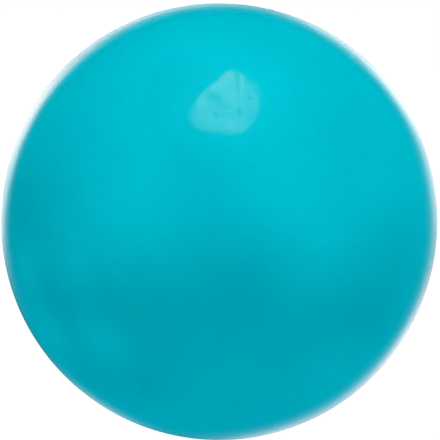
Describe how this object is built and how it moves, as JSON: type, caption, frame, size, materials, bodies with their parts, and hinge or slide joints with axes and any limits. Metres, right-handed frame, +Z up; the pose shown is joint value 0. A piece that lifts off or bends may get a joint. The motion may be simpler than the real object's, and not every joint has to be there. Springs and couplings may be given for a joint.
{
  "type": "solid rubber ball",
  "caption": "Solid turquoise rubber ball for throwing and bouncing, with a rubber core bonded inside a smooth moulded cover that has a fine parting line round its middle.",
  "frame": {"origin": "centre of the ball", "axes": "+Z up, +X to the right in the picture, +Y along the mould axis and away from the picture's camera"},
  "size_m": [0.0634, 0.0636, 0.0634],
  "materials": {
    "cover_rubber": "satin",
    "core_rubber": "matte"
  },
  "bodies": {
    "root": {"core": "core_rubber", "front_cover": "cover_rubber", "rear_cover": "cover_rubber"}
  },
  "joints": []
}
